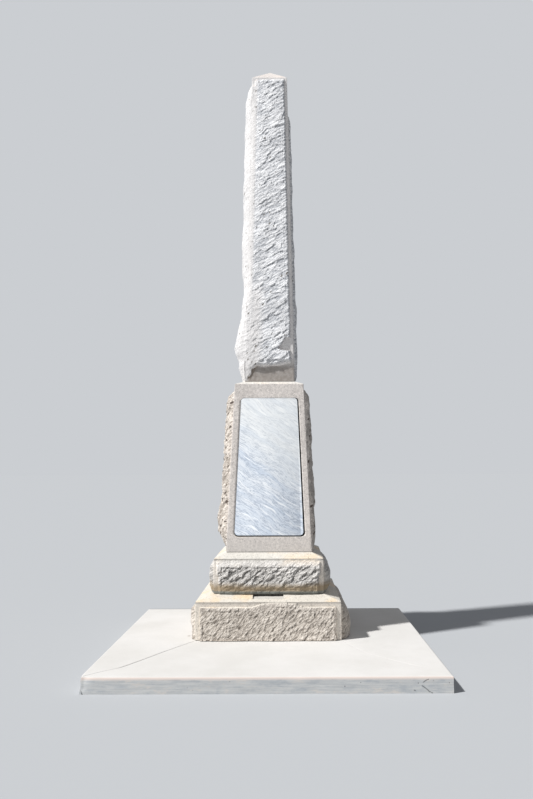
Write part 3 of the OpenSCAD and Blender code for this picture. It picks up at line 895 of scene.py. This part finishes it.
# The upper base's slaty band along its foot is painted shade.
base_high = granite("pitch_faced_grey_granite", {
    "body": "#cdc9c4", "crest": "#ece7e2", "hollow": "#85827e", "chip_shadows": 0.8, "mottle": 0.11,
    "dressed": "#dfd8cf", "wash": "#d1ccc3", "rust": "#dac3a4", "line": 0.5, "lit_top": 0.6,
    "stain_and_shade": "#978260", "stain_and_shade_at": (UPPER_Z + 0.10, UPPER_Z + 0.15, 0.8),
    "arris": UPPER_ARRIS, "grain": 38, "pits": 0.03, "calm_pits": 0.0, "pit": "#4f4a45",
    "right_side_shade": 0.22, "shaded_foot_at": (UPPER_Z + 0.022, UPPER_Z + 0.034, 0.8)})
die_stone = granite("bush_hammered_pink_granite", {
    "body": "#d9cfc4", "crest": "#ece4da", "hollow": "#9c9186", "chip_shadows": 0.6, "mottle": 0.24,
    "dressed": "#ddd5ce", "wash": "#d8d3cc", "rust": "#dacbba",
    "stain_and_shade": "#c9c5c0", "stain_and_shade_at": (DIE_Z + 0.03, DIE_Z + 0.25, 0.5), "stain_and_shade_on_rock": 0.3,
    "arris": DIE_ARRIS, "grain": 55, "pits": 0.45, "calm_pits": 0.45, "pit": "#5c5048",
    "right_side_shade": 0.42})
# On the shaft the foot stain is painted shade, under the rock's ledge over the dressed foot strip.
shaft_stone = granite("pitch_faced_pale_granite", {
    "body": "#f1f0f0", "crest": "#fafafa", "hollow": "#b0b2b6", "chip_shadows": 0.8, "mottle": 0.09,
    "dressed": "#e6e2df", "wash": "#d9d1cb", "rust": "#ddcfc4",
    "stain_and_shade": "#796d61", "stain_and_shade_at": (SHAFT_Z + 0.17, SHAFT_Z + 0.28, 0.9), "stain_and_shade_on_rock": 0.1,
    "arris": SHAFT_ARRIS, "chips": [(0.060, 0.022, 0.0045), (0.024, 0.010, 0.0016)],
    "grain": 31, "pits": 0.04, "calm_pits": 0.13, "pit_size": (0.050, 0.024), "pit": "#858079",
    "right_side_shade": 0.20})
print("granites ready")

# %% [markdown]
# ** Painted shade in the joints.** The walls of the recess round the tablet and of the pocket in
# the wash are painted almost black as shade, in patches of 11 mm. The pocket's floor faces up and
# is painted pale, as lit grit.

# %% Painted shade in the joints
joint_painted_shade, tree, shader, where = new_material("painted_shade_in_joints")
joint_mottle = add(tree, "TexNoise", where, 90.0, 4.0)
patches = add(tree, "MapRange", joint_mottle, 0.35, 0.65)
shaded_wall = add(tree, "Mix", patches, "#2f2d2b", "#4f4b46", data_type="RGBA")
lit_grit = add(tree, "Mix", patches, "#b9b4ac", "#cfcac2", data_type="RGBA")
facing = add(tree, "SeparateXYZ", add(tree, "NewGeometry").outputs["Normal"]).outputs["Z"]
# Walls are painted almost black as shade. The floor, facing up, is painted pale as lit grit.
shade_by_facing = add(tree, "Mix", add(tree, "MapRange", facing, 0.5, 0.8), shaded_wall, lit_grit, data_type="RGBA")
finished(tree, shader, shade_by_facing, 0.95, joint_mottle, 0.6, 0.002)
print("dirt ready")

# %% [markdown]
# **Marble.** The tablet is white marble with grey-blue veins, sawn along the bed and honed to a
# dull sheen, so the highlights are wide. The veins are clay bands that were folded while the
# rock was hot: they run down to the right at about 33 degrees, wander, and come in bundles. The
# bands are about 60 mm wide, the veins in them 25 mm apart and the hairlines 10 mm. Honing leaves
# scratches too fine to show from here, so they are drawn as a grain of 2 mm. Stretched noise is
# used and not a wave pattern, because a wave's lines would be too even.

# %% Honed marble
marble, tree, shader, where = new_material("honed_white_marble")
turn = add(tree, "Mapping", where, Rotation=(0, math.radians(-33), 0))
bend = add(tree, "TexNoise", where, 2.4, 3.0).outputs["Color"]
bent = add(tree, "VectorMath", bend, (0.17, 0.17, 0.17), turn, operation="MULTIPLY_ADD")
squeeze = add(tree, "Mapping", bent, Scale=(1.0, 1.0, 8.0))
clouds = add(tree, "MapRange", add(tree, "TexNoise", squeeze, 2.1, 5.0, 0.55), 0.34, 0.64)
streaks = add(tree, "TexNoise", squeeze, 5.0, 6.0, 0.62)
hairs = add(tree, "TexNoise", squeeze, 12.0, 4.0, 0.6)
veined = add(tree, "Mix", clouds, "#c0c9d4", "#d5d9dd", data_type="RGBA")
for pattern, width, share, vein in ((streaks, 0.028, 0.95, "#8d97a6"),
                                    (hairs, 0.024, 0.65, "#949fb0")):
    away = add(tree, "Math", pattern, 0.5, operation="SUBTRACT")
    away = add(tree, "Math", away, operation="ABSOLUTE")
    veined = add(tree, "Mix", add(tree, "MapRange", away, 0.0, width, share, 0.0), veined, vein,
                 data_type="RGBA")
spot = add(tree, "SeparateXYZ", where).outputs
upper_right = add(tree, "Math", spot["X"], 0.9, spot["Z"], operation="MULTIPLY_ADD")
warm = add(tree, "MapRange", upper_right, DIE_Z + 0.65, DIE_Z + 1.10, 0.0, 0.5)
pale = add(tree, "MapRange", streaks, 0.57, 0.66, 0.0, 0.9)
for share, over in ((pale, "#e8eaeb"), (warm, "#dcdcd8")):
    veined = add(tree, "Mix", share, veined, over, data_type="RGBA")
shader.inputs["IOR"].default_value = 1.49
finished(tree, shader, veined, 0.42, add(tree, "TexNoise", where, 420.0, 2.0), 0.15)
print("marble ready")

# %% [markdown]
# **Concrete.** The pad was poured into a board form and its top trowelled. Sun and rain have
# bleached the top to a warm near-white. The form left the edge greyer, with level streaks where
# the pour settled, and a sandy pinkish line where the edging tool pressed the arris. A few short
# cracks and holes are drawn on the front edge, each as the distance from a line on a face that
# noise has bent by up to 6 mm. A spot of rust lies left of the lower base. The top is blotched in
# patches of 450 mm, the edge in patches of 130 by 40 mm, and its streaks are 250 mm long and
# 10 mm high. Air has left holes of about 10 mm. The sand is drawn at 3 mm, about twice its real
# size, or it wouldn't show.

# %% Concrete
WAVE = 0.012
RUST_SPOT = (-0.751, 0.005, PAD_HIGH.z)
FACE_CRACKS = [[(1.156, 0.066), (1.212, 0.024)], [(1.163, 0.093), (1.200, 0.113)],
               [(1.095, 0.036), (1.104, 0.034)], [(1.221, 0.018), (1.229, 0.016)],
               [(-1.368, 0.100), (-1.360, 0.050), (-1.338, 0.014)]]
concrete, tree, shader, where = new_material("trowelled_concrete")
height = add(tree, "SeparateXYZ", where).outputs["Z"]
blotch = add(tree, "TexNoise", where, 2.2, 5.0, 0.6)
sand = add(tree, "TexNoise", where, 300.0, 2.0)
drawn_out = add(tree, "Mapping", where, Scale=(0.7, 0.7, 2.2))
patch = add(tree, "TexNoise", drawn_out, 11.0, 5.0, 0.65)
level = add(tree, "Mapping", where, Scale=(2.5, 2.5, 60.0))
streaks = add(tree, "TexNoise", level, 1.6, 6.0, 0.7)
bleached = add(tree, "Mix", add(tree, "MapRange", blotch, 0.35, 0.65), "#ccc9c4", "#d4d1cd",
               data_type="RGBA")
near_top = add(tree, "MapRange", height, PAD_HIGH.z - 0.030, PAD_HIGH.z - 0.014)
on_top = add(tree, "MapRange", height, PAD_HIGH.z - 0.009, PAD_HIGH.z - 0.002)
holes = add(tree, "TexVoronoi", where, 26.0).outputs
chance = add(tree, "SeparateColor", holes["Color"])
pinhole = add(tree, "MapRange", holes["Distance"], 0.10, 0.16, 1.0, 0.0)
for share in (add(tree, "MapRange", chance, 0.86, 0.90),
              add(tree, "MapRange", on_top, 0.0, 1.0, 0.75, 0.08)):
    pinhole = add(tree, "Math", pinhole, share, operation="MULTIPLY")
crack = add(tree, "Attribute", attribute_name="crack").outputs["Fac"]
poured = "#b9bbbc"
for share, over in ((add(tree, "MapRange", streaks, 0.3, 0.7), "#dcdcd9"),
                    (add(tree, "MapRange", patch, 0.50, 0.66, 0.0, 0.5), "#a3abb3"),
                    (add(tree, "MapRange", patch, 0.34, 0.44, 0.8, 0.0), "#dcd6cf"),
                    (near_top, "#efdfd5"), (on_top, bleached), (pinhole, "#6f7072"),
                    (add(tree, "MapRange", crack, 0.05, 0.45), "#50504f")):
    poured = add(tree, "Mix", share, poured, over, data_type="RGBA")
bend = add(tree, "TexNoise", where, 40.0, 2.0).outputs["Color"]
wavy = add(tree, "VectorMath", bend, (WAVE, 0.0, WAVE), where, operation="MULTIPLY_ADD")
for points in FACE_CRACKS:
    points = [Vector((x - WAVE / 2, PAD_LOW.y, z - WAVE / 2)) for x, z in points]
    for start, end in zip(points, points[1:]):
        run = end - start
        reach = add(tree, "VectorMath", wavy, start, operation="SUBTRACT")
        share = add(tree, "VectorMath", reach, run / run.length_squared, operation="DOT_PRODUCT")
        held = add(tree, "MapRange", share, 0.0, 1.0)
        nearest = add(tree, "VectorMath", run, held, operation="SCALE")
        gap = add(tree, "VectorMath", reach, nearest, operation="DISTANCE")
        line = add(tree, "MapRange", gap, 0.0020, 0.0055, 0.75, 0.0)
        poured = add(tree, "Mix", line, poured, "#4d4f52", data_type="RGBA")
rust = add(tree, "VectorMath", where, RUST_SPOT, operation="DISTANCE")
rust = add(tree, "Math", patch, 0.010, rust, operation="MULTIPLY_ADD")
poured = add(tree, "Mix", add(tree, "MapRange", rust, 0.012, 0.024, 0.8, 0.0), poured, "#8a7c72",
             data_type="RGBA")
speck = add(tree, "MapRange", sand, 0.3, 0.7, 0.97, 1.02)
sandy = add(tree, "VectorMath", poured, speck, operation="SCALE")
finished(tree, shader, sandy, 0.9, sand, 0.3)
print("concrete ready")

# %% [markdown]
# **Mortar.** Lime and sand, pressed into the joint and raked back with a thin iron. It is grainy
# and matt, and darker than the stone because it stays damp. Its grit is drawn at 4 mm, about twice
# the real size, or it wouldn't show.

# %% Mortar
mortar, tree, shader, where = new_material("raked_lime_mortar")
grit = add(tree, "TexNoise", where, 240.0, 3.0)
sandy = add(tree, "Mix", grit, "#615d57", "#807a71", data_type="RGBA")
finished(tree, shader, sandy, 0.95, grit, 0.5)
print("mortar ready")

# %% [markdown]
# Each new piece gets one material. The two that were cut have a second slot for their cut faces,
# which gets the painted shade of the joints. The beds and the footing are still the CAD's own
# objects, and only the material in their slots is changed.

# %% Put the materials on
for (piece, _, _), material in zip(PIECES, (base_low, base_high, die_stone, shaft_stone, marble,
                                            concrete)):
    if len(piece.data.materials) > 1:
        piece.data.materials[0], piece.data.materials[1] = material, joint_painted_shade
    else:
        piece.data.materials.clear()
        piece.data.materials.append(material)
for node_name in ("base_bed", "step_bed", "die_bed", "shaft_bed", "footing"):
    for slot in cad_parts[node_name].material_slots:
        slot.material = concrete if node_name == "footing" else mortar
print("materials on")

# %% [markdown]
# The studio. The key light stands high on the left, a little in front. It draws the chips, lights
# the left-hand edges and leaves the margins right of each panel in shade, as the sun does in the
# photograph. A pale sky, and what the floor throws back, fill the shadows. The key is of the
# parallel kind, so the floor is evenly lit as far as it goes, and its colour there meets the
# backdrop's. The backdrop is bright only for rays from the camera or through a reflection.

# %% Floor, lights and sky
floor_shape = bmesh.new()
bmesh.ops.create_grid(floor_shape, x_segments=1, y_segments=1, size=300)
floor = as_piece(floor_shape, "studio_floor")
floor_material, _, shader, _ = new_material("pale_studio_floor")
shader.inputs["Base Color"].default_value = colour("#b0b2b4")
shader.inputs["Roughness"].default_value = 1.0
shader.inputs["Specular IOR Level"].default_value = 0.0
floor.data.materials.append(floor_material)

key_way = Vector((-0.60, -0.25, 0.76))
key_light = bpy.data.lights.new("key", "SUN")
key_light.energy = 4.6
key_light.angle = math.radians(3)
key = bpy.data.objects.new("key", key_light)
key.rotation_euler = key_way.to_track_quat("Z", "Y").to_euler()
key.location = key_way * 8
bpy.context.scene.collection.objects.link(key)

world = bpy.data.worlds.new("studio_sky")
bpy.context.scene.world = world
world.use_nodes = True
tree = world.node_tree
sky = tree.nodes["Background"]
sky.inputs["Color"].default_value = colour("#eef2fa")
sky.inputs["Strength"].default_value = 0.32
backdrop = add(tree, "Background", "#cbced2", 1.0)
path = add(tree, "LightPath")
seen = path.outputs["Is Camera Ray"]
for ray in ("Is Glossy Ray", "Is Transmission Ray"):
    seen = add(tree, "Math", seen, path.outputs[ray], operation="ADD", use_clamp=True)
whole_sky = add(tree, "MixShader", seen, sky, backdrop)
fill(tree, tree.nodes["World Output"].inputs["Surface"], whole_sky)
print("studio lit")

# %% [markdown]
# The camera stands where the photographer stood, at eye height in front of the tablet and 17 cm
# right of the pad's middle, tilted up by 6 degrees. The photograph's optical centre lies
# right of its middle, which the shift gives.

# %% Camera
camera_data = bpy.data.cameras.new("camera")
camera_data.lens = 30.19
camera_data.sensor_width = 36
camera_data.shift_x = -0.0281
camera = bpy.data.objects.new("camera", camera_data)
camera.location = (0.170, -6.333, 1.625)
camera.rotation_euler = (math.radians(96.09), math.radians(0.20), 0)
bpy.context.scene.collection.objects.link(camera)
bpy.context.scene.camera = camera
bpy.context.scene.view_settings.view_transform = "Standard"
print("camera at", tuple(camera.location))
